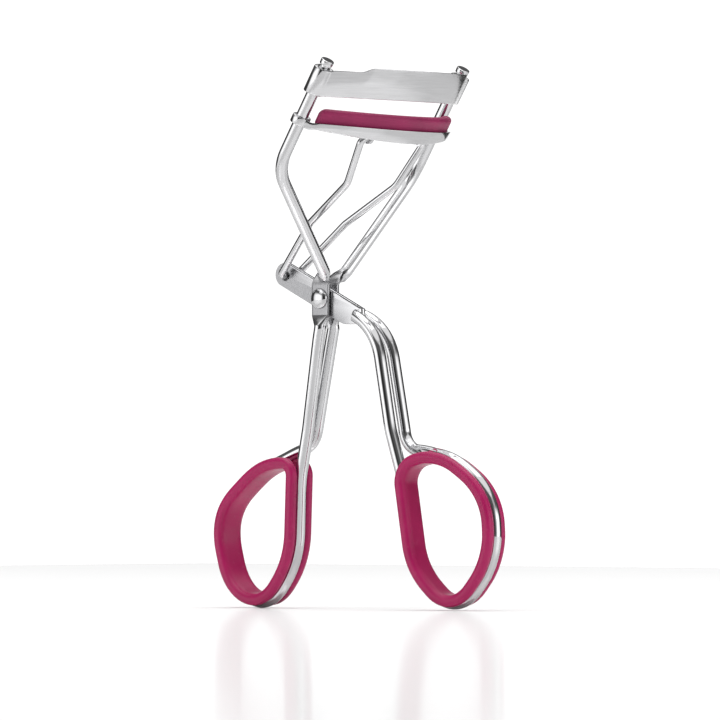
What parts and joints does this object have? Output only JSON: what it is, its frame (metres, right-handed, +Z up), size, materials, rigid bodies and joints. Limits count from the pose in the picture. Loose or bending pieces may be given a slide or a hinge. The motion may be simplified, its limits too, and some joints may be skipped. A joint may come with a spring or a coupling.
{
  "type": "eyelash curler",
  "caption": "Wire-framed eyelash curler: bowed upper jaw, sliding lower jaw with a soft pad, link and riveted lever, cushioned finger loops.",
  "frame": {"origin": "middle of the overall box, on the surface that the finger loops stand on", "axes": "+Z up from the finger loops to the jaws, +Y from the lever loop towards the frame loop, X along the pivot rivet and the width of the jaws"},
  "size_m": [0.0428, 0.0708, 0.1047],
  "materials": {
    "chromed_wire": "polished",
    "chromed_sheet": "brushed",
    "rivet_steel": "polished",
    "cushion_rubber": "satin",
    "pad_rubber": "satin"
  },
  "bodies": {
    "frame": {"frame_wire": "chromed_wire", "upper_jaw": "chromed_sheet", "pivot_rivet": "rivet_steel", "frame_loop_cushion": "cushion_rubber"},
    "lever": {"lever_wire": "chromed_wire", "lever_loop_cushion": "cushion_rubber"},
    "lower_jaw_slide": {"lower_jaw": "chromed_sheet", "lash_pad": "pad_rubber"},
    "link": {"link_wire": "chromed_wire"}
  },
  "joints": [
    {"name": "handle_pivot", "type": "hinge", "parent": "frame", "child": "lever", "pos_m": [0, 0.00773, 0.05957], "axis": [1, 0, 0], "range_deg": [-11, 13.6]},
    {"name": "jaw_slide", "type": "slide", "parent": "frame", "child": "lower_jaw_slide", "axis": [0, -0.5358, 0.8443], "range_m": [-0.00197, 0.00244]},
    {"name": "link_swing", "type": "hinge", "parent": "lower_jaw_slide", "child": "link", "pos_m": [0, -0.00977, 0.08968], "axis": [1, 0, 0], "range_deg": [-0.312, 0.384]}
  ],
  "couplings": [
    {"joint": "jaw_slide", "follows": "handle_pivot", "m_per_rad": 0.01023},
    {"joint": "link_swing", "follows": "handle_pivot", "ratio": 0.0275}
  ]
}
